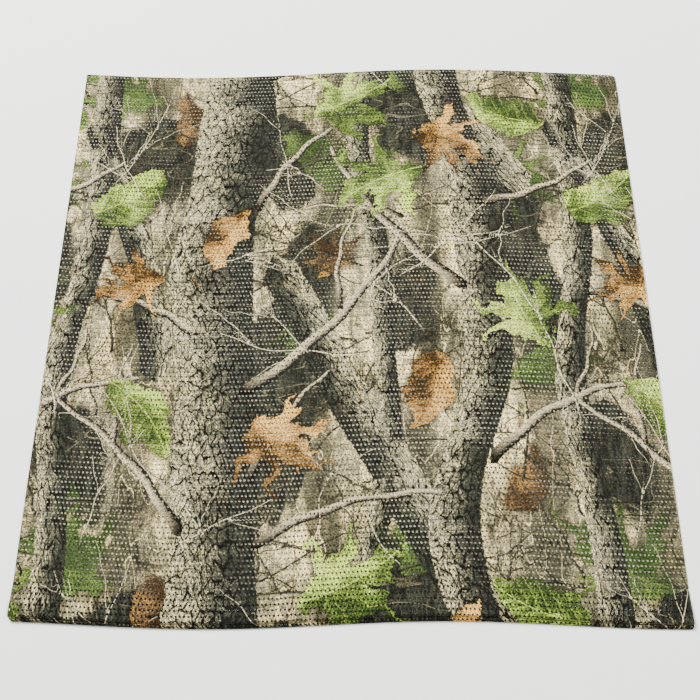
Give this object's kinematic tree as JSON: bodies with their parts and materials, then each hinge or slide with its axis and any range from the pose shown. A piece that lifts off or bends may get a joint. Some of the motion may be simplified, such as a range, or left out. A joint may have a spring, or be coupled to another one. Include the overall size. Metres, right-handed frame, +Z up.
{
  "type": "camouflage net, a length of printed knitted mesh folded once",
  "caption": "Rectangular camouflage net of knitted mesh cloth, folded once into two layers and lying flat, with a soft fold along the front edge.",
  "frame": {"origin": "centre of the folded net's box, on the surface it lies on", "axes": "+Z up through the layers, -Y towards the folded edge, +X to the right as seen from the folded edge"},
  "size_m": [0.71, 0.7412, 0.0047],
  "materials": {
    "printed_mesh_cloth": "matt, printed knitted polyester mesh"
  },
  "bodies": {
    "root": {"net_cloth": "printed_mesh_cloth"}
  },
  "joints": []
}
